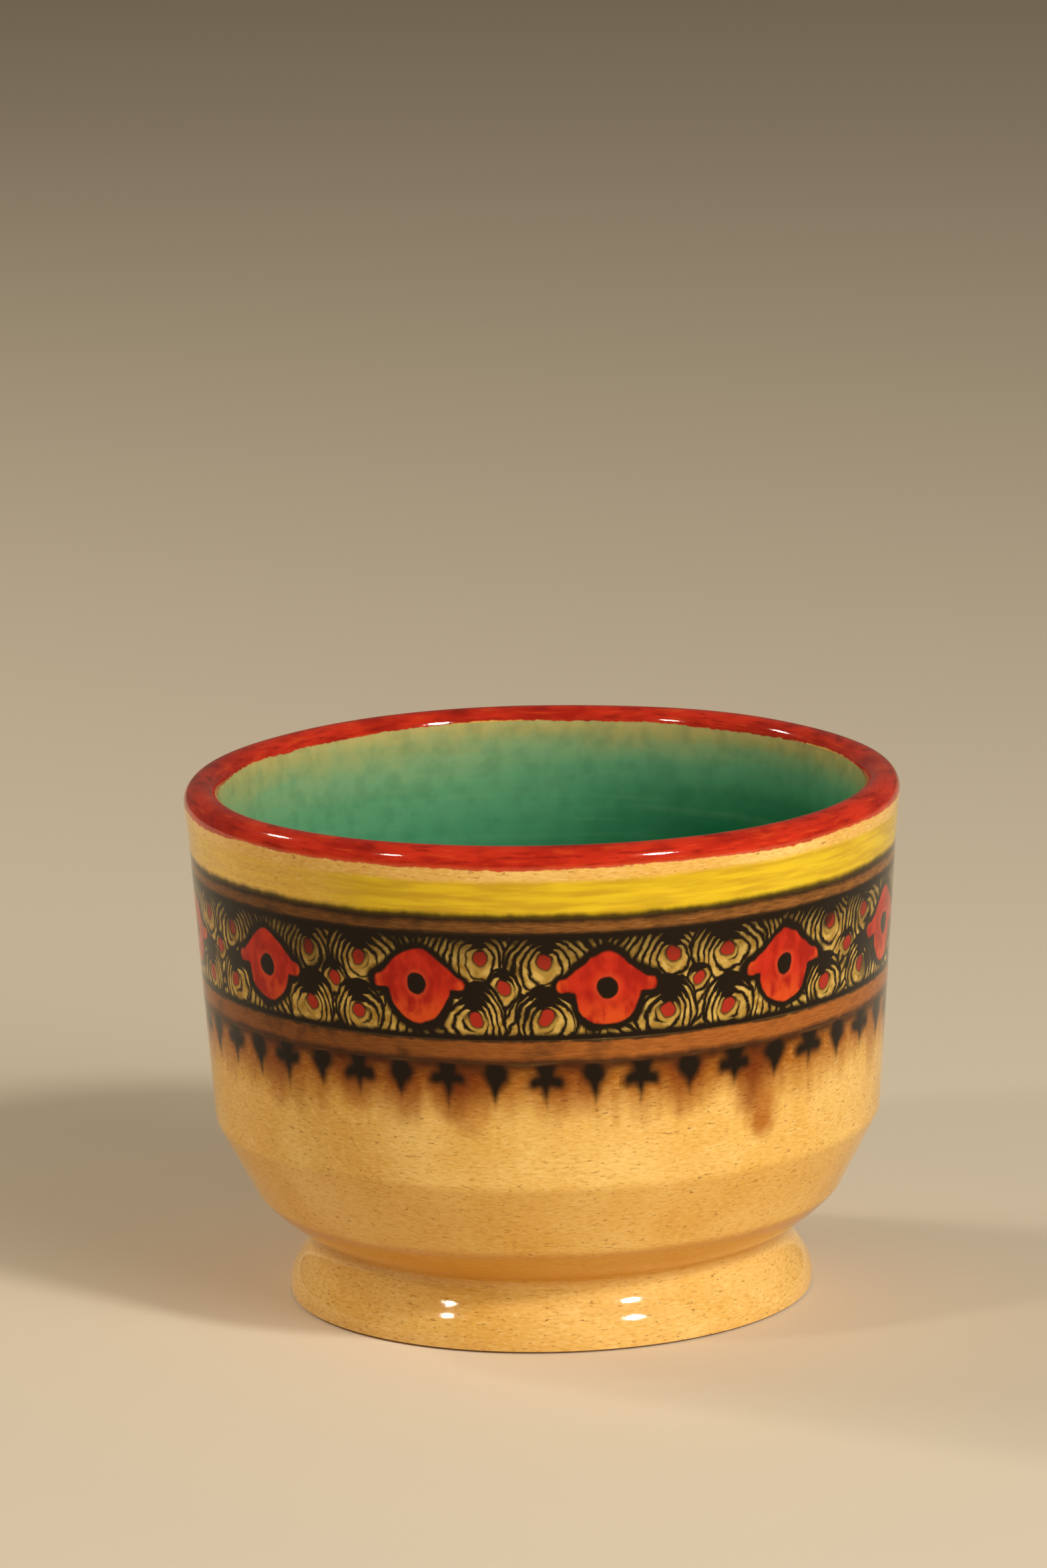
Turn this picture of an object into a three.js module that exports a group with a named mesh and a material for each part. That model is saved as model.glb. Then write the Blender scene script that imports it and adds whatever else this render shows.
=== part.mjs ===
// A hand-painted earthenware cup with no handle: a thrown bowl luted onto a flared foot ring,
// lined with green glaze, with a red lip and bands of coloured glaze round the outside.
// Every piece is turned about the vertical axis. Millimetres, +Z up, the origin on the table
// under the middle of the foot. Outside sizes are measured on the glaze.
import * as THREE from "three";

// The whole cup
const CUP_HEIGHT = 68;
const RIM_RADIUS = 46.2;

// The wall, from the rolled lip down to the shoulder
const LIP_ROUND = 2.35;
const FLARE_DROP = 6.9;
const FLARE_OUT = 0.7;
const WALL_TAPER = 2.45;
const WALL_THICKNESS = 4.5;

// The turned facet from the shoulder to the belly's edge, and the belly that rounds in from there
// to the neck
const FACET_RISE = 9.7;
const FACET_LEAN = 5.05;
const BELLY_RISE = 5.2;
const BELLY_ROUND_IN = 4;
const BELLY_ROUND_UP = 0.9;
const NECK_RADIUS = 31;

// The hollow inside
const FLOOR_THICKNESS = 6;
const FLOOR_FLAT_RADIUS = 19;
const HOLLOW_TURN_RISE = 15;

// The foot ring, and the slip that lutes it to the bowl
const FOOT_HEIGHT = 8.4;
const FOOT_RADIUS = 34.1;
const FOOT_WIDEST_HEIGHT = 1.2;
const FOOT_WAIST_DROP = 3.2;
const FOOT_SWELL = 3.4;
const FOOT_BASE_INSET = 1.1;
const FOOT_BASE_WIDTH = 6.7;
const FOOT_TOP_WIDTH = 6;
const SLIP_THICKNESS = 0.5;

// The glaze: how thick it is, its seat on the clay, and where the foot's coat ends
const COAT = 0.45;
const COAT_SEAT = 0.05;
const HEM_HEIGHT = 0.3;
const HEM_INSET = 0.15;

// How far each band of glaze runs along the surface, from the top of the lip
const LIP_INSIDE = 2.9;
const LIP_OUTSIDE = 3.8;
const YELLOW_BAND = 5.8;
const UPPER_BORDER = 2.5;
const FLORET_FRIEZE = 13.9;
const LOWER_BORDER = 2.8;
const PENDANT_FRINGE = 7.5;

// How finely the round stretches are cut
const TURN_STEPS = 48;
const LIP_STEPS = 8;
const FLARE_STEPS = 3;
const CURVE_STEPS = 5;

const CLAY = { color: 0xb9805a, roughness: 0.85, metalness: 0 };
const SLIP = { color: 0x8a5a32, roughness: 0.6, metalness: 0 };
const RED = { color: 0xb52a1c, roughness: 0.15, metalness: 0 };
const YELLOW = { color: 0xd2a638, roughness: 0.15, metalness: 0 };
const BROWN = { color: 0x8c4f28, roughness: 0.2, metalness: 0 };
const KHAKI = { color: 0x8d6a38, roughness: 0.2, metalness: 0 };
const AMBER = { color: 0xc68a42, roughness: 0.15, metalness: 0 };
const GREEN = { color: 0x2f8a58, roughness: 0.15, metalness: 0 };

const point = (radius, height) => new THREE.Vector2(radius, height);

// The points of several curves, joined end to end
function joined(...curves) {
  return curves.flatMap(([curve, steps], i) => curve.getPoints(steps).slice(i > 0 ? 1 : 0));
}

// A unit arrow to the right of the way a line runs at each of its points, lengthened at a
// corner so that both sides of the corner move by the same depth
function rightOf(line) {
  const sides = line.slice(1).map((end, i) => {
    const along = end.clone().sub(line[i]).normalize();
    return point(along.y, -along.x);
  });
  return line.map((_, i) => {
    const before = sides[Math.max(i - 1, 0)];
    const after = sides[Math.min(i, sides.length - 1)];
    const middle = before.clone().add(after).normalize();
    return middle.divideScalar(middle.dot(after));
  });
}

// A line moved to its right by a depth, into the material that lies there
function sunk(line, depth) {
  const right = rightOf(line);
  return line.map((p, i) => p.clone().addScaledVector(right[i], depth));
}

function lengthOf(line) {
  return line.slice(1).reduce((sum, end, i) => sum + end.distanceTo(line[i]), 0);
}

// A line cut at distances along it: its points with the cuts among them, and where in that
// list each piece of it starts and ends
function cutAt(line, distances) {
  const points = [line[0]];
  const cuts = [0];
  let passed = 0;
  for (let i = 1; i < line.length; i++) {
    const length = line[i].distanceTo(line[i - 1]);
    for (const distance of distances) {
      const share = (distance - passed) / length;
      if (share > 0 && share <= 1) cuts.push(points.length);
      if (share > 0 && share < 1) points.push(line[i - 1].clone().lerp(line[i], share));
    }
    points.push(line[i]);
    passed += length;
  }
  cuts.push(points.length - 1);
  return { points, cuts };
}

const cup = new THREE.Group();

// Turns an outline about the vertical axis. The material lies to the right of the way it runs,
// and it starts and ends on the axis or is closed here.
function turned(name, outline, finish) {
  const closed = outline[0].x > 0 ? [...outline, outline[0]] : outline;
  const geometry = new THREE.LatheGeometry(closed.reverse(), TURN_STEPS);
  geometry.rotateX(Math.PI / 2);
  const mesh = new THREE.Mesh(geometry, new THREE.MeshStandardMaterial(finish));
  mesh.name = name;
  cup.add(mesh);
}

// The heights and radii that the pieces share
const neckHeight = FOOT_HEIGHT + SLIP_THICKNESS;
const edgeHeight = neckHeight + BELLY_RISE;
const shoulderHeight = edgeHeight + FACET_RISE;
const lipHeight = CUP_HEIGHT - LIP_ROUND;
const lipRadius = RIM_RADIUS - LIP_ROUND;
const floorHeight = neckHeight + FLOOR_THICKNESS;
const hollowTurn = floorHeight + HOLLOW_TURN_RISE;
const wallTop = point(RIM_RADIUS - FLARE_OUT, lipHeight - FLARE_DROP);
const shoulder = point(wallTop.x - WALL_TAPER, shoulderHeight);
const wallSlope = (wallTop.x - shoulder.x) / (wallTop.y - shoulder.y);
const bellyEdge = point(shoulder.x - FACET_LEAN, edgeHeight);
const neck = point(NECK_RADIUS, neckHeight);
const clayDepth = COAT + COAT_SEAT;
const slipRadius = NECK_RADIUS - clayDepth;
const footBoreTop = slipRadius - FOOT_TOP_WIDTH;
const baseRadius = FOOT_RADIUS - FOOT_BASE_INSET;

const wallRadius = (height) => wallTop.x - wallSlope * (wallTop.y - height);

// The bowl's glazed inside, from the middle of the floor up to the top of the lip
function hollowLine() {
  const turn = point(wallRadius(hollowTurn) - WALL_THICKNESS, hollowTurn);
  const corner = point(turn.x - wallSlope * HOLLOW_TURN_RISE, floorHeight);
  const flatEdge = point(FLOOR_FLAT_RADIUS, floorHeight);
  const wall = point(wallTop.x - WALL_THICKNESS, wallTop.y);
  const lipInside = point(lipRadius - LIP_ROUND, lipHeight);
  const lip = new THREE.EllipseCurve(
    lipRadius, lipHeight, LIP_ROUND, LIP_ROUND, Math.PI, Math.PI / 2, true);
  return joined(
    [new THREE.LineCurve(point(0, floorHeight), flatEdge), 1],
    [new THREE.QuadraticBezierCurve(flatEdge, corner, turn), CURVE_STEPS],
    [new THREE.LineCurve(turn, wall), 1],
    [new THREE.LineCurve(wall, lipInside), 1],
    [lip, LIP_STEPS / 2],
  );
}

// The bowl's glazed outside, from the top of the lip down to the neck
function outsideLine() {
  const lipOutside = point(RIM_RADIUS, lipHeight);
  const flareCorner = point(wallRadius(wallTop.y + FLARE_DROP / 2), wallTop.y + FLARE_DROP / 2);
  const belly = point(bellyEdge.x - BELLY_ROUND_IN, neckHeight + BELLY_ROUND_UP);
  const lip = new THREE.EllipseCurve(
    lipRadius, lipHeight, LIP_ROUND, LIP_ROUND, Math.PI / 2, 0, true);
  return joined(
    [lip, LIP_STEPS / 2],
    [new THREE.QuadraticBezierCurve(lipOutside, flareCorner, wallTop), FLARE_STEPS],
    [new THREE.LineCurve(wallTop, shoulder), 1],
    [new THREE.LineCurve(shoulder, bellyEdge), 1],
    [new THREE.QuadraticBezierCurve(bellyEdge, belly, neck), CURVE_STEPS],
  );
}

// The glazed outside of the foot, from the neck over the slip and the ring to the coat's hem
function footLine() {
  const top = point(NECK_RADIUS, FOOT_HEIGHT);
  const waist = point(NECK_RADIUS, FOOT_HEIGHT - FOOT_WAIST_DROP);
  const widest = point(FOOT_RADIUS, FOOT_WIDEST_HEIGHT);
  const swell = point(FOOT_RADIUS, FOOT_WIDEST_HEIGHT + FOOT_SWELL);
  const hem = point(FOOT_RADIUS - HEM_INSET, HEM_HEIGHT);
  return joined(
    [new THREE.LineCurve(neck, top), 1],
    [new THREE.CubicBezierCurve(top, waist, swell, widest), CURVE_STEPS],
    [new THREE.LineCurve(widest, hem), 1],
  );
}

// The bands of glaze, end to end from the middle of the floor, over the lip and down the outside
const hollow = hollowLine();
const bands = [
  ["lining_glaze", GREEN, lengthOf(hollow) - LIP_INSIDE],
  ["lip_glaze", RED, LIP_INSIDE + LIP_OUTSIDE],
  ["yellow_band", YELLOW, YELLOW_BAND],
  ["upper_border", BROWN, UPPER_BORDER],
  ["floret_frieze", KHAKI, FLORET_FRIEZE],
  ["lower_border", BROWN, LOWER_BORDER],
  ["pendant_fringe", AMBER, PENDANT_FRINGE],
];
const bandEnds = bands.map((_, i) => bands.slice(0, i + 1).reduce((sum, band) => sum + band[2], 0));
const bowl = cutAt([...hollow, ...outsideLine().slice(1)], bandEnds);
const foot = footLine();

// The last two bands reach from there to the neck, and from the neck to the hem
bands.push(["belly_glaze", AMBER], ["foot_glaze", AMBER]);
const face = [...bowl.points, ...foot.slice(1)];
const cuts = [...bowl.cuts, face.length - 1];

const back = sunk(face, COAT);
bands.forEach(([name, finish], i) => {
  const front = face.slice(cuts[i], cuts[i + 1] + 1);
  const behind = back.slice(cuts[i], cuts[i + 1] + 1);
  turned(name, [...front, ...behind.reverse()], finish);
});

// The clay bowl lies under its glaze, from the floor to its flat underside on the slip
const bowlClay = sunk(face, clayDepth).slice(0, bowl.points.length);
turned("bowl_body", [
  ...bowlClay,
  point(bowlClay.at(-1).x, neckHeight),
  point(0, neckHeight),
], CLAY);

// The slip lies flat between the foot ring and the bowl
turned("luting_slip", [
  point(footBoreTop, FOOT_HEIGHT),
  point(footBoreTop, neckHeight),
  point(slipRadius, neckHeight),
  point(slipRadius, FOOT_HEIGHT),
], SLIP);

// The foot ring has a flat top under the slip, and stands on its flat bare base
turned("foot_ring", [
  point(footBoreTop, FOOT_HEIGHT),
  point(slipRadius, FOOT_HEIGHT),
  ...sunk(foot, clayDepth).slice(1),
  point(baseRadius, 0),
  point(baseRadius - FOOT_BASE_WIDTH, 0),
], CLAY);

export default cup;
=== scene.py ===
"""A hand-painted footed cup: glazed rings turned over clay, painted in nodes round its axis."""
import math

import bmesh
import bpy
from mathutils import Matrix, Vector, noise


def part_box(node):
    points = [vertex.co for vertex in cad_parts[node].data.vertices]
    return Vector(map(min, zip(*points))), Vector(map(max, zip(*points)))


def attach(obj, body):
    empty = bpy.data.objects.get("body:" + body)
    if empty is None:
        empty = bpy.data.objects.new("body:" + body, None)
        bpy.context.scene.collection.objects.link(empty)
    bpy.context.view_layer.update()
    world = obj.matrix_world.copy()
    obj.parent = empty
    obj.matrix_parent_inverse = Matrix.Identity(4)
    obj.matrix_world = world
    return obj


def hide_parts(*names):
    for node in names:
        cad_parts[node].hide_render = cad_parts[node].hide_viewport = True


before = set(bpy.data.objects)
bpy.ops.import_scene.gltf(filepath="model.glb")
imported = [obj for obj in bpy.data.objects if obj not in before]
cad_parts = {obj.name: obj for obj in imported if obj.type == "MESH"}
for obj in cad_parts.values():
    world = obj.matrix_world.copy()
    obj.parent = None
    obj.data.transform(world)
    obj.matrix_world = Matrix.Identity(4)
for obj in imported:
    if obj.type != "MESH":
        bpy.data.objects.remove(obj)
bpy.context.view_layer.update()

MM = 0.001
FULL_TURN = 2 * math.pi

# The coats of glaze, from the middle of the floor over the lip and down to the foot's hem
COATS = ("lining_glaze", "lip_glaze", "yellow_band", "upper_border", "floret_frieze",
         "lower_border", "pendant_fringe", "belly_glaze", "foot_glaze")


def top_of(node):
    """The height of a CAD node's top, in mm."""
    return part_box(node)[1].z / MM


def foot_of(node):
    """The height of a CAD node's lowest point, in mm."""
    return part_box(node)[0].z / MM


# The CAD's sizes, in mm: the lip's round and the radius of its middle, and the heights of the cup's
# top, its shoulder, its belly's edge and its neck
LIP_ROUND = 2.35
LIP_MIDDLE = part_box("lip_glaze")[1].x / MM - LIP_ROUND
CUP_TOP = top_of("lip_glaze")
SHOULDER = 23.8
BELLY_EDGE = 14.1
NECK = foot_of("belly_glaze")

# Where the painted bands start and end, in mm above the table, close to where the CAD's coats meet
LIP_EDGE = top_of("yellow_band") - 0.2
LIP_EDGE_INSIDE = top_of("lining_glaze") - 0.2
YELLOW_TOP = LIP_EDGE - 1.5
UPPER_BORDER = (top_of("upper_border") - 0.9, foot_of("upper_border") - 0.3)
LOWER_BORDER = (top_of("lower_border") - 0.2, foot_of("lower_border") - 0.2)
FRIEZE_TOP = top_of("floret_frieze")
FRIEZE_FOOT = foot_of("floret_frieze")
FRIEZE_MIDDLE = (FRIEZE_TOP + FRIEZE_FOOT) / 2 - 0.2
FRINGE_TOP = LOWER_BORDER[1] - 0.3

# The rhythm of the border: how many to a turn, and a slow drift, as where a hand spaced them by eye
WALL_RADIUS = 45.0
WALL_GIRTH = FULL_TURN * WALL_RADIUS
FLORETS = 11
FLORET_DRIFT = 0.15
FLORET_DRIFT_FROM = math.radians(45)
FLORET_START = 0.08
FLORET_CELL = WALL_GIRTH / FLORETS
PENDANTS = 44
PENDANT_DRIFT = 0.32
PENDANT_DRIFT_FROM = math.radians(59)
PENDANT_START = 0.775
PENDANT_CELL = WALL_GIRTH / PENDANTS

# Where the florets and the pendants start to number their chances, past those of the berries
FLORET_CHANCES = 100.0
PENDANT_CHANCES = 200.0

# The berries between two florets, in the order they were painted: how many mm right of the middle
# and above it, how far their rings reach, and how much further to the right, or to the left where it
# is below 0. The rings of the first fill the ground.
BERRIES = ((-3.7, 3.5, 30.0, 0.0), (4.1, 3.3, 5.4, 0.45), (-0.3, -0.1, 2.1, 0.0),
           (-4.4, -3.8, 4.0, -0.35), (4.0, -3.7, 4.1, 0.35))

# Where the stain ran furthest down below the pendants: degrees to the right of the front, mm, and
# how strong it ended, from the same strength at the top
DRIPS = ((38, 11.8, 0.9), (35, 8.5, 0.4), (23, 7.5, 0.5), (4, 7.0, 0.3), (-13, 9.4, 0.4),
         (-16, 7.5, 0.5), (-24, 7.8, 0.4), (-33, 7.0, 0.5), (-51, 8.4, 0.5), (84, 8.0, 0.4),
         (121, 10.8, 0.7), (166, 7.4, 0.4), (-152, 9.7, 0.6), (-97, 8.0, 0.4))
DRIP_START_STRENGTH = 0.7

# The lamps: degrees to the right of the camera and above the table, m away, m across, watts, colour,
# and whether the glaze mirrors it
LAMPS = (
    ("right_lamp", 42, 40, 1.1, 0.15, 4.8, "fffcf7", True),
    ("low_right_lamp", 43, 19, 1.2, 0.8, 8.6, "fffcf7", False),
    ("left_lamp", -56, 41, 1.1, 0.11, 1.5, "fff4e6", True),
    ("back_lamp", -110, 26, 1.2, 0.4, 3.6, "fff4e6", False),
    ("rim_lamp", -116, 40, 1.1, 0.12, 1.4, "fff4e6", True),
)
SKY_STRENGTH = 0.4
FLOOR_HALF_WIDTH = 4.0

# The camera: its place in m, how far it looks down and aside and how far it is tilted, and its lens
# and sensor in mm
CAMERA_PLACE = (0, -1, 0.2792)
CAMERA_DOWN = math.radians(12.007)
CAMERA_ASIDE = math.radians(-0.131)
CAMERA_TILT = math.radians(-1.234)
LENS = 182.2
SENSOR_HEIGHT = 36

FLOAT = "NodeSocketFloat"
VECTOR = "NodeSocketVector"
COLOUR = "NodeSocketColor"


def tint(code):
    """A colour written as six hex digits, as Blender's nodes take it."""
    def linear(part):
        return part / 12.92 if part <= 0.04045 else ((part + 0.055) / 1.055) ** 2.4
    return (*(linear(int(code[i:i + 2], 16) / 255) for i in (0, 2, 4)), 1.0)


BLACK = tint("1a0e04")
LINE_BLACK = tint("1c1007")
LINE_BROWN = tint("35190a")


# Formulas in nodes

def wire(tree, source, target):
    """Feeds a socket from another, or from a Field, or sets it to a plain value."""
    if isinstance(source, Field):
        source = source.socket
    if isinstance(source, bpy.types.NodeSocket):
        tree.links.new(source, target)
    else:
        target.default_value = source


class Field:
    """A number that changes over the surface, held by a node's output, to write formulas with."""

    def __init__(self, tree, socket):
        self.tree = tree
        self.socket = socket

    def calc(self, operation, *others):
        """The result of one of Blender's math operations on this number and others."""
        node = self.tree.nodes.new("ShaderNodeMath")
        node.operation = operation
        for target, source in zip(node.inputs, (self, *others)):
            wire(self.tree, source, target)
        return Field(self.tree, node.outputs[0])

    def __add__(self, other):
        return self.calc("ADD", other)

    def __sub__(self, other):
        return self.calc("SUBTRACT", other)

    def __mul__(self, other):
        return self.calc("MULTIPLY", other)

    def __truediv__(self, other):
        return self.calc("DIVIDE", other)

    def __neg__(self):
        return self.calc("MULTIPLY", -1.0)

    def __abs__(self):
        return self.calc("ABSOLUTE")

    def most(self, *others):
        """The largest of this number and others."""
        result = self
        for other in others:
            result = result.calc("MAXIMUM", other)
        return result

    def joined(self, other, fillet):
        """The union of two shapes, each below 0 inside, with a fillet where they meet."""
        return self.calc("SMOOTH_MIN", other, fillet)

    def reach(self, other):
        """How far a point with these two coordinates lies from the origin."""
        return (self * self + other * other).calc("SQRT")

    def wave(self, start):
        """The sine of this many turns, begun at an angle."""
        return self.calc("MULTIPLY_ADD", FULL_TURN, start).calc("SINE")

    def rise(self, start, end):
        """0 at start and 1 at end, with soft ends; start may be the larger."""
        node = self.tree.nodes.new("ShaderNodeMapRange")
        node.interpolation_type = "SMOOTHSTEP"
        wire(self.tree, self, node.inputs["Value"])
        wire(self.tree, start, node.inputs["From Min"])
        wire(self.tree, end, node.inputs["From Max"])
        return Field(self.tree, node.outputs["Result"])


def split(tree, vector):
    """The three numbers of a vector or a colour."""
    node = tree.nodes.new("ShaderNodeSeparateXYZ")
    tree.links.new(vector, node.inputs[0])
    return [Field(tree, output) for output in node.outputs]


def stretched(tree, vector, *factors):
    """A point with each of its coordinates multiplied, for a pattern drawn out along one way."""
    node = tree.nodes.new("ShaderNodeVectorMath")
    node.operation = "MULTIPLY"
    tree.links.new(vector, node.inputs[0])
    node.inputs[1].default_value = factors
    return node.outputs[0]


def cloud_node(tree, vector, scale, detail):
    """A noise texture, so many swells to a mm."""
    node = tree.nodes.new("ShaderNodeTexNoise")
    tree.links.new(vector, node.inputs["Vector"])
    node.inputs["Scale"].default_value = scale
    node.inputs["Detail"].default_value = detail
    return node


def cloud(tree, vector, scale, detail):
    """Noise from about 0.2 to 0.8."""
    return Field(tree, cloud_node(tree, vector, scale, detail).outputs[0])


def wander(tree, vector, scale, detail=1.0):
    """Three noises about 0, for moving a drawn line off its course."""
    return [part - 0.5 for part in split(tree, cloud_node(tree, vector, scale, detail).outputs[1])]


def chance(tree, number):
    """Three steady random numbers about 0, up to a half either way, for each whole number."""
    node = tree.nodes.new("ShaderNodeTexWhiteNoise")
    node.noise_dimensions = "1D"
    wire(tree, number, node.inputs["W"])
    return [part - 0.5 for part in split(tree, node.outputs["Color"])]


def over(tree, amount, under, paint, blend="MIX"):
    """A paint laid over a colour, where amount is 1."""
    node = tree.nodes.new("ShaderNodeMix")
    node.data_type = "RGBA"
    node.blend_type = blend
    wire(tree, amount, node.inputs[0])
    wire(tree, under, node.inputs[6])
    wire(tree, paint, node.inputs[7])
    return node.outputs[2]


def soaked(tree, amount, under, stain):
    """A colour with a clear stain soaked into it, where amount is 1."""
    return over(tree, amount, under, stain, "MULTIPLY")


def ramp(tree, place, stops):
    """A colour that goes through stops, each a place from 0 to 1 and a colour."""
    node = tree.nodes.new("ShaderNodeValToRGB")
    while len(node.color_ramp.elements) < len(stops):
        node.color_ramp.elements.new(0.5)
    for element, (position, code) in zip(node.color_ramp.elements, stops):
        element.position = position
        element.color = tint(code)
    wire(tree, place, node.inputs[0])
    return node.outputs[0]


def new_group(name, inputs, outputs):
    """An empty shader group, with the sockets that its nodes start from and end at."""
    tree = bpy.data.node_groups.new(name, "ShaderNodeTree")
    for label, kind in inputs:
        tree.interface.new_socket(label, in_out="INPUT", socket_type=kind)
    for label, kind in outputs:
        tree.interface.new_socket(label, in_out="OUTPUT", socket_type=kind)
    start = tree.nodes.new("NodeGroupInput")
    end = tree.nodes.new("NodeGroupOutput")
    return tree, start.outputs, end.inputs


def use_group(tree, group, **sources):
    """Places a group and feeds its inputs, which are named in small letters here."""
    node = tree.nodes.new("ShaderNodeGroup")
    node.node_tree = group
    for label, source in sources.items():
        wire(tree, source, node.inputs[label.capitalize()])
    return node.outputs


# Where a point lies on the cup

def make_place():
    """Turns round from the front to the right, height and radius in mm, and the point in mm."""
    tree, given, result = new_group(
        "place_on_cup", [("Object", VECTOR)],
        [("Turn", FLOAT), ("Height", FLOAT), ("Radius", FLOAT), ("Point", VECTOR)])
    point = stretched(tree, given["Object"], 1 / MM, 1 / MM, 1 / MM)
    x, y, z = split(tree, point)
    wire(tree, x.calc("ARCTAN2", -y) / FULL_TURN, result["Turn"])
    wire(tree, z, result["Height"])
    wire(tree, x.reach(y), result["Radius"])
    wire(tree, point, result["Point"])
    return tree


def away_from(turn, degrees):
    """How many turns a place lies from an angle round the cup, the shorter way round."""
    return abs((turn - degrees / 360 + 0.5).calc("FLOORED_MODULO", 1.0) - 0.5)


PAINT_INPUTS = [("Under", COLOUR), ("Turn", FLOAT), ("Height", FLOAT), ("Radius", FLOAT),
                ("Point", VECTOR)]


def paint_group(name):
    """A group for one paint, laid over the colour that comes in as Under."""
    tree, given, result = new_group(name, PAINT_INPUTS, [("Color", COLOUR)])
    fields = [Field(tree, given[label]) for label in ("Turn", "Height", "Radius")]
    return tree, given["Under"], *fields, given["Point"], result["Color"]


# Paints and glazes, from the ground up

def make_amber():
    """Clear amber glaze over pale clay: cloudy and grained, with painted shade deepening it under
    the shoulder where the belly faces down, and dark flecks drawn out round the cup."""
    tree, _, _, height, _, point, result = paint_group("amber_ground")
    clouds = cloud(tree, point, 0.07, 3.0)
    grain = cloud(tree, stretched(tree, point, 0.5, 0.5, 1.7), 2.2, 3.0)
    flecks = cloud(tree, stretched(tree, point, 0.4, 0.4, 1.5), 2.3, 2.0)
    spots = cloud(tree, stretched(tree, point, 0.6, 0.6, 1.6), 1.1, 3.0)
    colour = over(tree, clouds.rise(0.3, 0.7), tint("e4ae52"), tint("f2c46f"))
    colour = over(tree, grain.rise(0.5, 0.7) * 0.4, colour, tint("c78a34"))
    colour = over(tree, grain.rise(0.48, 0.3) * 0.4, colour, tint("fad88e"))
    # painted shade: the belly below the shoulder, which faces down, is painted a deeper amber
    facet_shade = height.rise(SHOULDER + 0.8, SHOULDER - 0.8) * height.rise(NECK - 3.9, NECK + 0.1)
    colour = over(tree, facet_shade * 0.2, colour, tint("cc8c28"))
    colour = over(tree, flecks.rise(0.64, 0.72) * 0.55, colour, tint("82501c"))
    colour = over(tree, spots.rise(0.7, 0.76) * 0.6, colour, tint("6a3d16"))
    wire(tree, colour, result)
    return tree


def make_pool_and_shade():
    """The glaze that ran together, thick and smooth, under the belly's edge, painted darker there also as
    painted shade on the underside that faces down.
    """
    tree, under, _, height, _, point, result = paint_group("pooled_glaze_and_shade")
    drift, _, _ = wander(tree, point, 0.1)
    level = height + drift * 0.8
    # pooled glaze and painted shade: the belly's underside and the neck, where shade falls, are painted
    # deeper
    pool_and_shade = level.rise(NECK - 1.6, NECK + 0.4) * level.rise(BELLY_EDGE + 0.5, BELLY_EDGE - 0.7)
    wire(tree, over(tree, pool_and_shade * 0.6, under, tint("c6811f")), result)
    return tree


def make_lip_red():
    """Red brushed round the lip: streaky, thin in places, with a ragged edge."""
    tree, under, _, height, radius, point, result = paint_group("lip_red")
    slow, _, _ = wander(tree, point, 0.07, 1.0)
    ragged, _, _ = wander(tree, stretched(tree, point, 1.0, 1.0, 0.4), 0.9, 3.0)
    streaks = cloud(tree, stretched(tree, point, 0.2, 0.2, 2.0), 1.2, 4.0)
    patches = cloud(tree, stretched(tree, point, 1.0, 1.0, 3.0), 0.16, 3.0)
    outside = radius.rise(LIP_MIDDLE - 0.6, LIP_MIDDLE + 0.6)
    edge = outside * (LIP_EDGE - LIP_EDGE_INSIDE) + LIP_EDGE_INSIDE
    above = height - edge + slow * 0.9 + ragged * 0.55
    red = over(tree, patches.rise(0.35, 0.65), tint("aa1f0e"), tint("cb2f17"))
    red = over(tree, streaks.rise(0.54, 0.74) * 0.55, red, tint("dc4c1c"))
    red = over(tree, streaks.rise(0.47, 0.3) * 0.6, red, tint("74100a"))
    red = over(tree, above.rise(0.8, 0.0) * outside * 0.55, red, tint("cf5220"))
    wire(tree, over(tree, above.rise(-0.1, 0.12), under, red), result)
    return tree


def make_yellow():
    """The yellow stripe under the lip, brushed on strongest to the right of the front."""
    tree, under, turn, height, _, point, result = paint_group("yellow_stripe")
    slow, _, _ = wander(tree, point, 0.08, 1.0)
    fine, _, _ = wander(tree, stretched(tree, point, 0.4, 0.4, 1.0), 0.8, 2.0)
    streaks = cloud(tree, stretched(tree, point, 0.12, 0.12, 1.2), 0.9, 3.0)
    level = height + slow * 0.9 + fine * 0.4
    strength = away_from(turn, 65).rise(0.3, 0.255) * 0.55 + 0.4
    yellow = over(tree, streaks.rise(0.35, 0.65), tint("c99f08"), tint("e3bd10"))
    stripe = level.rise(YELLOW_TOP + 0.5, YELLOW_TOP - 0.4)
    wire(tree, over(tree, stripe * strength, under, yellow), result)
    return tree


def make_border(name, top, foot, pale, deep, top_line, foot_line, foot_ink):
    """A brown border, brushed round between two dark lines that bled, the lower in its own ink."""
    tree, under, turn, height, _, point, result = paint_group(name)
    slow, _, _ = wander(tree, point, 0.1, 1.0)
    fine, bleed, _ = wander(tree, stretched(tree, point, 1.0, 1.0, 0.5), 0.6, 3.0)
    streaks = cloud(tree, stretched(tree, point, 0.2, 0.2, 1.5), 3.0, 3.0)
    smudges = cloud(tree, stretched(tree, point, 1.0, 1.0, 1.6), 0.2, 3.0)
    level = height + slow * 0.6 + fine * 0.25
    band = level.rise(top + 0.35, top - 0.1) * level.rise(foot - 0.25, foot + 0.2)
    brown = over(tree, streaks.rise(0.25, 0.75), tint(deep), tint(pale))
    # random dark smudges, and painted shade darkening the border on the left of the front
    smudge_and_shade = smudges.rise(0.5, 0.7) * 0.4 + away_from(turn, -40).rise(0.16, 0.02) * 0.45
    brown = over(tree, smudge_and_shade, brown, tint("36210c"))
    colour = over(tree, band, under, brown)
    for line, width, ink in ((top + 0.2, top_line, LINE_BLACK), (foot - 0.1, foot_line, foot_ink)):
        off = abs(level - line) - bleed * 0.5
        colour = over(tree, off.rise(width, 0.1) * 0.92, colour, ink)
    wire(tree, colour, result)
    return tree


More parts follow.
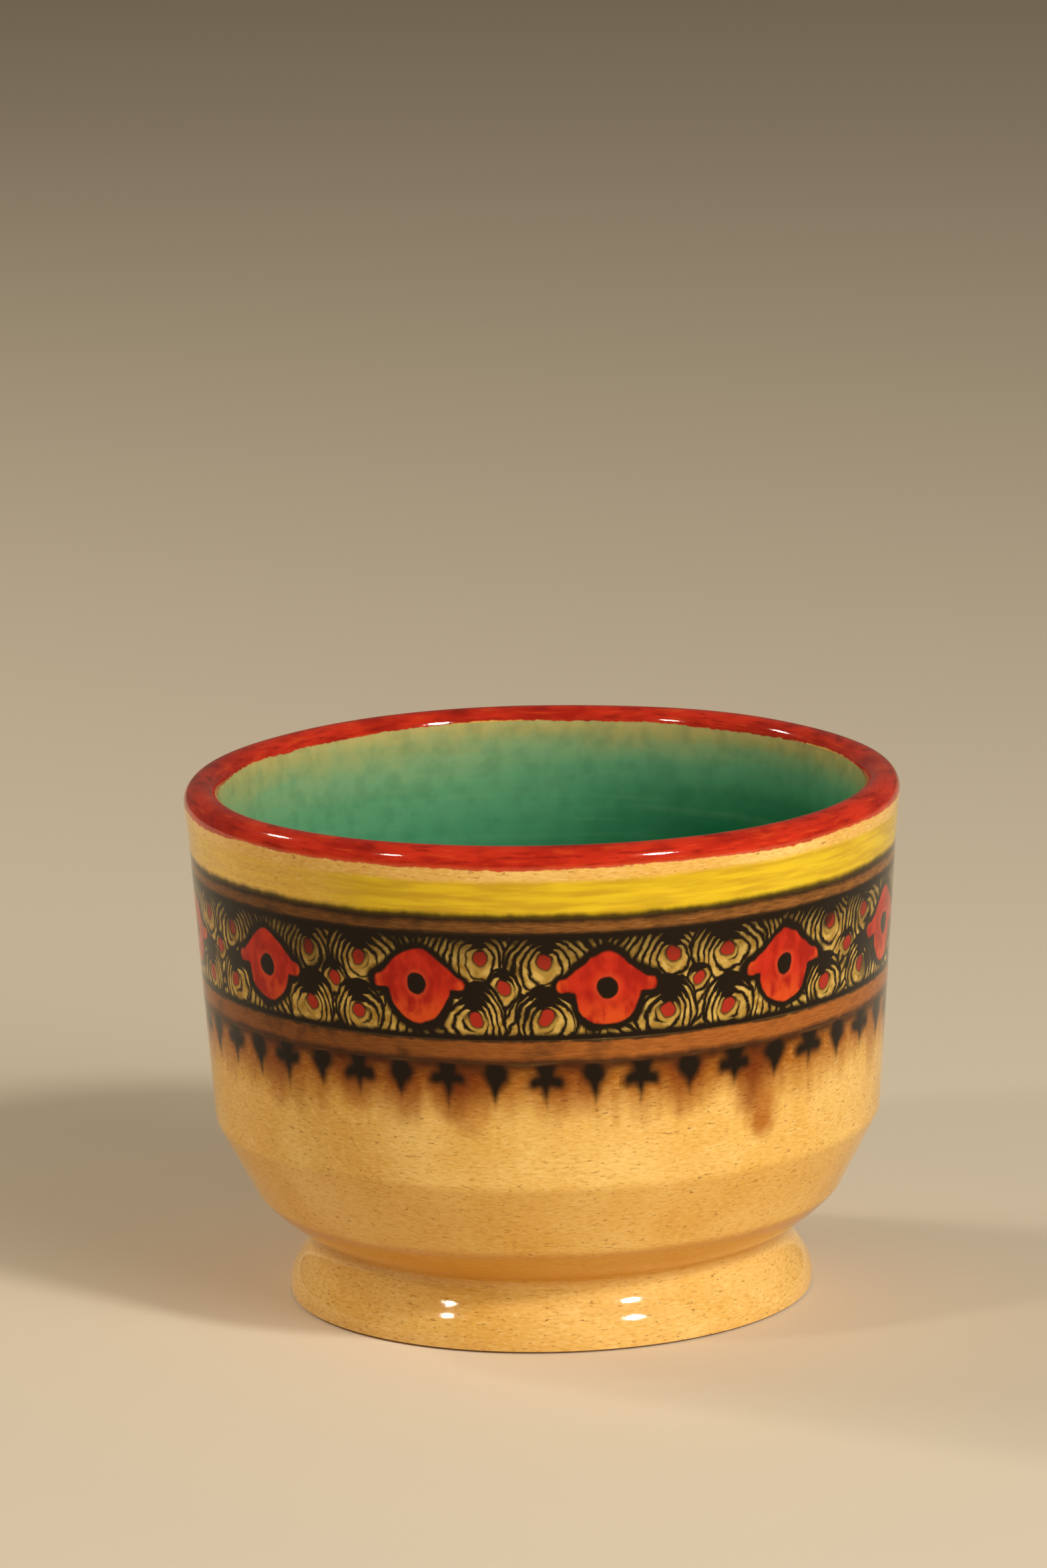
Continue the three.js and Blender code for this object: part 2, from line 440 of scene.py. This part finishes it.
def make_berry():
    """One berry of the frieze, in an oval of brush strokes that thicken over it into a black tongue."""
    pitch = 0.95
    tree, given, result = new_group(
        "berry_scroll",
        [("Under", COLOUR), ("Khaki", COLOUR), ("X", FLOAT), ("Y", FLOAT), ("Size", FLOAT),
         ("Spread", FLOAT), ("Lean", FLOAT), ("Wobble", FLOAT), ("Press", FLOAT)], [("Color", COLOUR)])
    labels = ("X", "Y", "Size", "Spread", "Lean", "Wobble", "Press")
    x, y, size, spread, lean, wobble, press = (Field(tree, given[label]) for label in labels)
    outer = (x * spread).most(0.0)
    wide = x - outer * abs(spread) * x.calc("SIGN")
    out = wide.reach(y * 0.92)
    strokes = abs(((out + y * 0.26 + x * lean + wobble * 0.75) / pitch).calc("FRACT") - 0.5) * 2.0
    upward = y / (out + 0.2) + wobble * 0.6
    weight = upward.rise(0.66, 0.98) * 0.75 + upward.rise(-0.5, 0.9) * 0.2 + press + 0.34
    ink = (strokes + weight).rise(0.66, 1.18)
    rim = out + wobble * 0.8 - size
    colour = over(tree, ink.most(abs(rim + 0.2).rise(0.5, 0.12)), given["Khaki"], BLACK)
    heart = (x + y * lean).reach(y * 0.95) + wobble * 0.7
    colour = over(tree, heart.rise(1.75, 1.5) * y.rise(1.2, -1.0) * 0.8, colour, tint("bd9440"))
    colour = over(tree, heart.rise(1.3, 0.95) * 0.85, colour, BLACK)
    colour = over(tree, heart.rise(1.05, 0.75), colour, tint("a62a18"))
    wire(tree, over(tree, rim.rise(0.12, -0.1), given["Under"], colour), result["Color"])
    return tree


def floret_rhythm(turn):
    """How many floret cells lie between the start of the border and a place round it."""
    return turn * FLORETS + turn.wave(FLORET_DRIFT_FROM) * FLORET_DRIFT + FLORET_START


def make_scrolls():
    """The frieze's ground: berries in khaki and black strokes, dark along the top and the foot, with
    painted shade darkening its upper part on the left of the front.
    """
    tree, under, turn, height, _, point, result = paint_group("frieze_scrolls")
    slow_x, slow_y, dark = wander(tree, point, 0.2, 1.0)
    fine, edge, patch = wander(tree, point, 0.8, 2.0)
    rhythm = floret_rhythm(turn) + 0.5
    gap = rhythm.calc("FLOOR")
    gap_number = gap.calc("FLOORED_MODULO", float(FLORETS)) * len(BERRIES)
    x = (rhythm - gap - 0.5) * FLORET_CELL + slow_x * 1.5
    y = height - FRIEZE_MIDDLE + slow_y * 1.5
    khaki = over(tree, patch.rise(-0.25, 0.25), tint("9a7226"), tint("d3ae5a"))
    colour = khaki
    for number, (right, above, size, spread) in enumerate(BERRIES):
        luck_x, luck_y, luck_lean = chance(tree, gap_number + number)
        berry = use_group(
            tree, BERRY, under=colour, khaki=khaki, x=x - right + luck_x * 1.3,
            y=y - above + luck_y * 0.9, size=luck_lean * 0.8 + size, spread=spread,
            lean=luck_lean * 0.5, wobble=fine, press=dark * 1.2)
        colour = berry["Color"]
    shade = dark.rise(0.02, 0.22) * 0.85
    gloom = height.rise(FRIEZE_TOP - 6.0, FRIEZE_TOP - 1.2) * 0.6
    top_edge = (height + edge * 1.8).rise(FRIEZE_TOP - 1.7, FRIEZE_TOP - 0.7)
    foot_edge = (height + edge * 0.7).rise(FRIEZE_FOOT + 1.15, FRIEZE_FOOT + 0.5)
    high = height.rise(FRIEZE_TOP - 8.0, FRIEZE_TOP - 2.0)
    # painted shade on the upper frieze to the left of the front
    left_shade = away_from(turn, -47).rise(0.07, 0.01) * high * 0.75
    colour = over(tree, shade.most(gloom, left_shade), colour, BLACK)
    colour = over(tree, top_edge.most(foot_edge), colour, BLACK)
    band = (height.rise(FRIEZE_TOP + 0.3, FRIEZE_TOP - 0.5)
            * height.rise(FRIEZE_FOOT - 0.3, FRIEZE_FOOT + 0.1))
    wire(tree, over(tree, band, under, colour), result)
    return tree


def floret_shape(x, y, luck):
    """How far outside a floret a point lies, in mm, and below 0 inside: a round body under a kite
    that comes to a blunt point above and runs out to a knob on either side."""
    body_radius, body_drop = 4.2, 0.55
    point_reach, point_round, slope_across, slope_up = 4.25, 0.9, 0.62, 0.785
    arm_reach, arm_round = 6.3, 0.8
    knob_out, knob_up, knob_radius = 5.8, 0.3, 0.8
    side = abs(x)
    body = x.reach(y + body_drop) - body_radius
    kite = x.reach(point_round) * slope_across + y * slope_up - point_reach
    kite = kite.calc("SMOOTH_MAX", -y - body_drop, arm_round)
    kite = kite.calc("SMOOTH_MAX", side - arm_reach, arm_round)
    knob = (side - (luck * 0.9 + knob_out)).reach(y - knob_up) - knob_radius
    return body.joined(kite, 0.5).joined(knob, 0.4)


def make_florets():
    """The red florets, each with a black eye and a heavy black outline."""
    tree, under, turn, height, _, point, result = paint_group("frieze_florets")
    slow_x, slow_y, thick = wander(tree, point, 0.24, 1.0)
    fine, _, _ = wander(tree, point, 0.9, 2.0)
    strokes = cloud(tree, stretched(tree, point, 1.0, 1.0, 0.6), 0.6, 4.0)
    rhythm = floret_rhythm(turn)
    cell = rhythm.calc("FLOOR")
    number = cell.calc("FLOORED_MODULO", float(FLORETS)) + FLORET_CHANCES
    luck_x, luck_y, luck_size = chance(tree, number)
    size = luck_size * 0.08 + 1.0
    x = ((rhythm - cell - 0.5) * FLORET_CELL + slow_x * 1.2 + luck_x * 0.4) / size
    y = (height - FRIEZE_MIDDLE + slow_y * 1.2 + luck_y * 0.5) / size
    shape = floret_shape(x, y, luck_x) + fine * 0.35
    eye = (x * 1.03).reach(y) + fine * 0.25
    red = over(tree, strokes.rise(0.35, 0.65), tint("a11a0a"), tint("c02a12"))
    glow = y.rise(-0.5, -4.0).most((abs(x) - 4.6).rise(0.0, 1.5)) * strokes.rise(0.38, 0.58)
    red = over(tree, glow * 0.5, red, tint("e05c1c"))
    red = over(tree, eye.rise(2.3, 1.5) * 0.35, red, tint("dc5228"))
    colour = over(tree, (shape + thick * 1.4).rise(1.4, 0.75), under, BLACK)
    colour = over(tree, shape.rise(0.18, -0.18), colour, red)
    wire(tree, over(tree, eye.rise(1.62, 1.34), colour, BLACK), result)
    return tree


def make_pendants():
    """Drops and leaves hanging by turns under the border, in a brown stain that ran down."""
    head_below, head_radius, drop_width, drop_length = 1.1, 1.6, 1.55, 4.4
    taper_from, length_luck = 0.9, 1.2
    stem_width, leaf_length = 1.45, 4.4
    arms_below, arm_length, arm_width = 1.7, 1.6, 0.8
    drip_round, drip_taper = 1.5, 2.0
    tree, under, turn, height, _, point, result = paint_group("pendants")
    slow_x, slow_y, _ = wander(tree, point, 0.25, 1.0)
    fine, _, _ = wander(tree, point, 0.7, 2.0)
    streaks = cloud(tree, stretched(tree, point, 1.0, 1.0, 0.06), 0.3, 2.0)
    grain = cloud(tree, stretched(tree, point, 0.5, 0.5, 1.5), 1.8, 3.0)
    rhythm = turn * PENDANTS + turn.wave(PENDANT_DRIFT_FROM) * PENDANT_DRIFT + (PENDANT_START + 0.5)
    cell = rhythm.calc("FLOOR")
    is_leaf = cell.calc("FLOORED_MODULO", 2.0)
    number = cell.calc("FLOORED_MODULO", float(PENDANTS)) + PENDANT_CHANCES
    luck_x, luck_length, luck_lean = chance(tree, number)
    x = (rhythm - cell - 0.5) * PENDANT_CELL + slow_x * 1.0 + luck_x * 0.5
    below = -(height - FRINGE_TOP) + slow_y * 0.8
    side = abs(x)

    head = side.reach(below - head_below) - head_radius
    taper = -(below - taper_from) / (luck_length * length_luck + drop_length - taper_from) + 1.0
    drop = head.joined((side - taper * drop_width).most(-below + taper_from), 0.4)
    stem = side - (-below / (luck_length * length_luck + leaf_length) + 1.0) * stem_width
    droop = side * (luck_lean * 0.5 + 0.08)
    arms = (side - arm_length).most(0.0).reach(below - arms_below - droop) - arm_width
    leaf = stem.joined(arms, 1.0)
    shape = drop + (leaf - drop) * is_leaf + fine * 0.6
    hung = below.rise(-0.35, 0.05)
    ink = shape.rise(0.7, -0.55) * hung

    run = streaks.rise(0.3, 0.75) * 4.0 + 7.4
    stain = (below / run).rise(1.0, 0.2) * (grain.rise(0.25, 0.65) * 0.2 + 0.8) * hung
    colour = soaked(tree, stain, under, tint("b1843f"))
    for degrees, length, end in DRIPS:
        along = below / length
        past_end = (below - (length - drip_round)).most(0.0)
        off = (away_from(turn, degrees) * WALL_GIRTH).reach(past_end)
        strength = along.rise(0.3, 1.0) * (end - DRIP_START_STRENGTH) + DRIP_START_STRENGTH
        wash = (off + along * drip_taper + fine * 1.6).rise(5.3, 2.1) * strength
        colour = soaked(tree, wash * hung, colour, tint("b8823c"))
    halo = shape.rise(1.7, -0.2) * below.rise(leaf_length + 1.0, leaf_length - 2.5) * hung
    colour = over(tree, halo * 0.6, colour, tint("6a340c"))
    colour = over(tree, below.rise(2.2, 0.0) * hung * 0.6, colour, tint("4e2508"))
    colour = over(tree, ink, colour, BLACK)
    wire(tree, colour, result)
    return tree


def make_green():
    """The green lining: ochre where it is thin under the lip, deep where it is thick, and darker on the
    right-hand part of the inside as thicker glaze and painted shade.
    """
    depth = top_of("lining_glaze") - foot_of("lining_glaze")
    stops = ((0.0, "bdae68"), (0.03, "a4ab6d"), (0.08, "87aa76"), (0.16, "67a273"), (0.28, "4e966a"),
             (0.45, "22754b"), (1.0, "0e5535"))
    tree, _, turn, height, _, point, result = paint_group("green_lining")
    slow, _, _ = wander(tree, point, 0.09, 3.0)
    fine, _, mottle = wander(tree, point, 0.4, 2.0)
    rings = cloud(tree, stretched(tree, point, 0.1, 0.1, 1.4), 0.5, 3.0)
    below = -height + (top_of("lining_glaze") - 0.8)
    # thicker glaze and painted shade: the inside to the right, shaded by the rim, is painted a deeper
    # green
    thick = away_from(turn, 110).rise(0.26, 0.0) * below.rise(0.3, 9.0) * 15.0
    uneven = (slow * 5.0 + rings * 3.0 - 1.5) * below.rise(0.0, 3.0) + fine * 2.5
    colour = ramp(tree, (below + uneven + thick) / depth, stops)
    colour = over(tree, rings.rise(0.5, 0.8) * 0.15, colour, tint("8fbf8e"))
    colour = over(tree, mottle.rise(-0.15, 0.25) * 0.25, colour, tint("2a6a45"))
    wire(tree, colour, result)
    return tree


def make_gloss():
    """The skin of fired glaze: nearly even gloss, with the faint swells and pits that it set with."""
    tree, given, result = new_group(
        "fired_gloss", [("Point", VECTOR)], [("Roughness", FLOAT), ("Relief", FLOAT)])
    swell = cloud(tree, stretched(tree, given["Point"], 0.6, 0.6, 1.0), 0.28, 2.0)
    pits = cloud(tree, given["Point"], 1.5, 2.0)
    wire(tree, swell * 0.08 + 0.03, result["Roughness"])
    wire(tree, swell + pits.rise(0.3, 0.6) * 0.06, result["Relief"])
    return tree


PLACE = make_place()
GLOSS = make_gloss()
AMBER = make_amber()
POOL_AND_SHADE = make_pool_and_shade()
LIP_RED = make_lip_red()
YELLOW = make_yellow()
UPPER_BROWN = make_border("upper_brown", *UPPER_BORDER, pale="96602a", deep="6a3f18",
                          top_line=1.0, foot_line=0.6, foot_ink=LINE_BLACK)
LOWER_BROWN = make_border("lower_brown", *LOWER_BORDER, pale="ac6428", deep="91501c",
                          top_line=0.5, foot_line=1.1, foot_ink=LINE_BROWN)
BERRY = make_berry()
SCROLLS = make_scrolls()
FLORET_PAINT = make_florets()
PENDANT_PAINT = make_pendants()
GREEN = make_green()


# Finishes

def new_material(name):
    """A material with its shader, and the place on the cup that its patterns follow."""
    material = bpy.data.materials.new(name)
    material.use_nodes = True
    tree = material.node_tree
    where = tree.nodes.new("ShaderNodeTexCoord")
    place = use_group(tree, PLACE, object=where.outputs["Object"])
    return material, tree, tree.nodes["Principled BSDF"].inputs, place


def relief(tree, height, depth, strength, target):
    """Feeds a shader's normal from a height, so many mm deep."""
    bump = tree.nodes.new("ShaderNodeBump")
    bump.inputs["Strength"].default_value = strength
    bump.inputs["Distance"].default_value = depth * MM
    wire(tree, height, bump.inputs["Height"])
    wire(tree, bump.outputs[0], target)


def glazed(name, mirror, ground, *paints):
    """A glossy glaze that mirrors so much, over its ground and its paints, the lowest first."""
    material, tree, shader, place = new_material(name)
    where = {label.lower(): place[label] for label in ("Turn", "Height", "Radius", "Point")}
    colour = use_group(tree, ground, **where)["Color"]
    for paint in paints:
        colour = use_group(tree, paint, under=colour, **where)["Color"]
    gloss = use_group(tree, GLOSS, point=place["Point"])
    wire(tree, colour, shader["Base Color"])
    wire(tree, gloss["Roughness"], shader["Roughness"])
    shader["Specular IOR Level"].default_value = mirror
    relief(tree, gloss["Relief"], 0.06, 0.5, shader["Normal"])
    return material


def bare_clay(name, pale, dark):
    """Fired clay with no glaze: matt, sandy and a little scorched."""
    material, tree, shader, place = new_material(name)
    clouds = cloud(tree, place["Point"], 0.12, 3.0)
    sand = cloud(tree, place["Point"], 1.6, 3.0)
    colour = over(tree, clouds.rise(0.3, 0.7), tint(dark), tint(pale))
    colour = over(tree, sand.rise(0.55, 0.75) * 0.5, colour, tint(dark))
    wire(tree, colour, shader["Base Color"])
    wire(tree, sand * 0.2 + 0.72, shader["Roughness"])
    relief(tree, sand, 0.15, 1.0, shader["Normal"])
    return material


# Shapes

MERGE = 0.001 * MM
SPIN_STEPS = 240
LINE_STEP = 0.5 * MM
COAT = 0.45 * MM
BASE_ROUNDING = 0.4 * MM
SHARP = math.radians(35)
HEM_TURN = math.radians(60)

# How often the outline is eased: the hollow, the plain wall, the lip and foot, and the crisp corners,
# which reach so many mm
HOLLOW_EASE = 40
WALL_EASE = 8
ROUND_EASE = 4
CRISP_EASE = 1
CRISP_REACH = 1.6

# How far the hand left the cup out of true, in mm: its girth, the rings of throwing and the rim
SWAY = 0.25
THROWING_RING = 0.035
RIM_DIP = 0.2

# The foot stays true up to the first of these heights, in mm, and the girth sways in full from the second
TRUE_BELOW = 2
SWAY_IN_FULL = 22


def cut_open(*nodes):
    """The outlines of turned CAD nodes where the plane through the axis and the front cuts them."""
    cut = bmesh.new()
    for node in nodes:
        cut.from_mesh(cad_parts[node].data)
    bmesh.ops.remove_doubles(cut, verts=cut.verts, dist=MERGE)
    bmesh.ops.bisect_plane(
        cut, geom=[*cut.verts, *cut.edges, *cut.faces], dist=MERGE, plane_co=(0, 0, 0),
        plane_no=(1, 0, 0), clear_inner=True, clear_outer=True)
    behind = [vert for vert in cut.verts if vert.co.y > MERGE]
    bmesh.ops.delete(cut, geom=behind, context="VERTS")
    return cut


def walk(start, heading):
    """Follows an outline from a vertex, furthest to the left at each joint, until it turns sharply
    right, as at a hem. Gives its stretches, each ending where another line joins it."""
    def left_turn(edge):
        ahead = edge.other_vert(here).co - here.co
        return math.atan2(-heading.cross(ahead).x, heading.dot(ahead))

    here, came_by, stretches = start, None, [[start.co.copy()]]
    while True:
        ways = [edge for edge in here.link_edges if edge is not came_by]
        if not ways or left_turn(max(ways, key=left_turn)) < -HEM_TURN:
            return stretches
        if len(ways) > 1:
            stretches.append([here.co.copy()])
        came_by = max(ways, key=left_turn)
        heading = (came_by.other_vert(here).co - here.co).normalized()
        here = came_by.other_vert(here)
        stretches[-1].append(here.co.copy())


def easing(point, in_lining):
    """How many times the outline is eased at a point: the shoulder and the belly's edge stay crisp."""
    height = point.z / MM
    if in_lining and height < CUP_TOP / 2:
        return HOLLOW_EASE
    if min(abs(height - SHOULDER), abs(height - BELLY_EDGE)) < CRISP_REACH:
        return CRISP_EASE
    return WALL_EASE if NECK + 1 < height < CUP_TOP - 3 * LIP_ROUND else ROUND_EASE


def eased(stretches):
    """The stretches with a point every line step and their corners rounded off as one line."""
    line, ends, rounds = [], [], []
    for number, stretch in enumerate(stretches):
        for start, end in zip(stretch, stretch[1:]):
            steps = max(1, round((end - start).length / LINE_STEP))
            line += [start.lerp(end, step / steps) for step in range(steps)]
        rounds += [easing(point, number == 0) for point in line[len(rounds):]]
        ends.append(len(line))
    line.append(stretches[-1][-1])
    for number in range(max(rounds)):
        line[1:-1] = [
            (before + here * 2 + after) / 4 if number < limit else here
            for before, here, after, limit in zip(line, line[1:], line[2:], rounds[1:])]
    return [line[first:last + 1] for first, last in zip([0, *ends], ends)]


def thrown(point):
    """Where a point of the perfect cup lies on one that was thrown by hand: a little out of round,
    with faint rings."""
    radius = math.hypot(point.x, point.y)
    if radius < MERGE:
        return point
    out = Vector((point.x, point.y, 0)) / radius
    lift = min(max((point.z / MM - TRUE_BELOW) / (SWAY_IN_FULL - TRUE_BELOW), 0), 1)
    sway = noise.noise(out * 1.1 + Vector((3, 5, point.z / (40 * MM))))
    ring = noise.noise(Vector((point.z / (2.2 * MM), 7, radius / (20 * MM))))
    rim = noise.noise(out * 1.6 + Vector((9, 1, 4))) * (point.z / (CUP_TOP * MM)) ** 6
    outward = (sway * SWAY + ring * THROWING_RING) * lift * MM
    return point + out * outward + Vector((0, 0, rim * RIM_DIP * MM))


def spun(shape):
    """Spins an outline right round the axis."""
    bmesh.ops.spin(shape, geom=[*shape.verts, *shape.edges], cent=(0, 0, 0), axis=(0, 0, 1),
                   angle=FULL_TURN, steps=SPIN_STEPS, use_merge=True)
    bmesh.ops.remove_doubles(shape, verts=shape.verts, dist=MERGE)
    bmesh.ops.recalc_face_normals(shape, faces=shape.faces)


def finished(name, shape, material, node):
    """Makes a piece of a turned shape that stands for a CAD node, and throws it by hand."""
    for vert in shape.verts:
        vert.co = thrown(vert.co)
    for face in shape.faces:
        face.smooth = True
    mesh = bpy.data.meshes.new(name)
    shape.to_mesh(mesh)
    shape.free()
    mesh.set_sharp_from_angle(angle=SHARP)
    mesh.materials.append(material)
    piece = bpy.data.objects.new(name, mesh)
    bpy.context.scene.collection.objects.link(piece)
    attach(piece, "root")
    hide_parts(node)


def glaze_ring(name, line, material, node):
    """A coat of glaze: its face is the line, spun round, and it goes as deep as the CAD's."""
    shape = bmesh.new()
    verts = [shape.verts.new(point) for point in line]
    for pair in zip(verts, verts[1:]):
        shape.edges.new(pair)
    spun(shape)
    middle = line[len(line) // 2]
    along = middle - line[len(line) // 2 - 1]
    left_of_line = Vector((0, along.z, -along.y))
    nearest = min(shape.faces, key=lambda face: (face.calc_center_median() - middle).length)
    if nearest.normal.dot(left_of_line) < 0:
        bmesh.ops.reverse_faces(shape, faces=shape.faces)
    bmesh.ops.solidify(shape, geom=shape.faces[:], thickness=COAT)
    finished(name, shape, material, node)


def clay_piece(name, material, node, rounding=0):
    """A clay piece with the CAD's outline, and any corners at its base rounded off by so much."""
    shape = cut_open(node)
    if rounding:
        corners = [vert for vert in shape.verts if vert.co.z < MERGE]
        bmesh.ops.bevel(shape, geom=corners, offset=rounding, affect="VERTICES", segments=4,
                        profile=0.5, material=-1)
    spun(shape)
    finished(name, shape, material, node)


# The pieces of the cup

def glaze_rings():
    """The coats of glaze, cut from one eased line. Each has its name, its slot, how much it mirrors,
    and its ground and paints."""
    looks = (
        ("green_lining", "green_glaze", 0.5, (GREEN, LIP_RED)),
        ("red_lip", "red_glaze", 0.5, (AMBER, LIP_RED)),
        ("yellow_ring", "yellow_glaze", 0.3, (AMBER, YELLOW, LIP_RED, UPPER_BROWN)),
        ("upper_brown_ring", "brown_glaze", 0.15, (AMBER, YELLOW, UPPER_BROWN, SCROLLS)),
        ("floret_ring", "frieze_glaze", 0.15, (AMBER, UPPER_BROWN, LOWER_BROWN, SCROLLS, FLORET_PAINT)),
        ("lower_brown_ring", "brown_glaze", 0.15, (AMBER, LOWER_BROWN, PENDANT_PAINT)),
        ("pendant_ring", "amber_glaze", 0.15, (AMBER, LOWER_BROWN, PENDANT_PAINT)),
        ("amber_belly", "amber_glaze", 0.25, (AMBER, PENDANT_PAINT, POOL_AND_SHADE)),
        ("amber_foot", "amber_glaze", 0.5, (AMBER, POOL_AND_SHADE)),
    )
    cut = cut_open(*COATS)
    on_axis = [vert for vert in cut.verts if abs(vert.co.y) < MERGE]
    floor_middle = max(on_axis, key=lambda vert: vert.co.z)
    lines = eased(walk(floor_middle, Vector((0, -1, 0))))
    cut.free()
    for (name, slot, mirror, paints), line, node in zip(looks, lines, COATS, strict=True):
        glaze_ring(name, line, glazed(name + "_glaze", mirror, *paints), node)


def clay_pieces():
    """The bowl, the foot ring and the slip between them, under the glaze."""
    clay = bare_clay("earthenware", "c79468", "8f5a36")
    clay_piece("clay_bowl", clay, "bowl_body")
    clay_piece("clay_foot", clay, "foot_ring", BASE_ROUNDING)
    clay_piece("slip_washer", bare_clay("fired_slip", "8a5a2e", "5b3718"), "luting_slip")


# The floor, the lamps and the camera

def floor():
    """A wide pale floor."""
    sheet = bmesh.new()
    bmesh.ops.create_grid(sheet, x_segments=1, y_segments=1, size=FLOOR_HALF_WIDTH)
    mesh = bpy.data.meshes.new("floor")
    sheet.to_mesh(mesh)
    sheet.free()
    material = bpy.data.materials.new("pale_floor")
    material.use_nodes = True
    shader = material.node_tree.nodes["Principled BSDF"].inputs
    shader["Base Color"].default_value = tint("e8dac0")
    shader["Roughness"].default_value = 0.7
    mesh.materials.append(material)
    piece = bpy.data.objects.new("floor", mesh)
    bpy.context.scene.collection.objects.link(piece)


def lamp(name, azimuth, elevation, distance, size, power, colour, mirrored):
    """A round lamp that faces the cup, seen from the cup at an angle to the right of the camera."""
    turn, lift = math.radians(azimuth), math.radians(elevation)
    way = Vector((math.sin(turn) * math.cos(lift), -math.cos(turn) * math.cos(lift), math.sin(lift)))
    light = bpy.data.lights.new(name, "AREA")
    light.shape = "DISK"
    light.size = size
    light.energy = power
    light.color = tint(colour)[:3]
    holder = bpy.data.objects.new(name, light)
    holder.visible_glossy = mirrored
    facing = way.to_track_quat("Z", "Y").to_matrix().to_4x4()
    middle = Vector((0, 0, CUP_TOP / 2 * MM))
    holder.matrix_world = Matrix.Translation(middle + way * distance) @ facing
    bpy.context.scene.collection.objects.link(holder)


def studio():
    """The lamps, and an even dim light from all round."""
    for settings in LAMPS:
        lamp(*settings)
    world = bpy.data.worlds.new("studio")
    world.use_nodes = True
    background = world.node_tree.nodes["Background"].inputs
    background["Color"].default_value = tint("968c7c")
    background["Strength"].default_value = SKY_STRENGTH
    bpy.context.scene.world = world
    bpy.context.scene.view_settings.view_transform = "Standard"


def camera():
    """A camera 1 m in front of the cup, with a long lens, that looks a little down on it."""
    lens = bpy.data.cameras.new("camera")
    lens.sensor_fit = "VERTICAL"
    lens.sensor_height = SENSOR_HEIGHT
    lens.lens = LENS
    holder = bpy.data.objects.new("camera", lens)
    holder.matrix_world = (
        Matrix.Translation(CAMERA_PLACE) @ Matrix.Rotation(-CAMERA_ASIDE, 4, "Z")
        @ Matrix.Rotation(math.pi / 2 - CAMERA_DOWN, 4, "X") @ Matrix.Rotation(CAMERA_TILT, 4, "Z"))
    bpy.context.scene.collection.objects.link(holder)
    bpy.context.scene.camera = holder


glaze_rings()
clay_pieces()
floor()
studio()
camera()
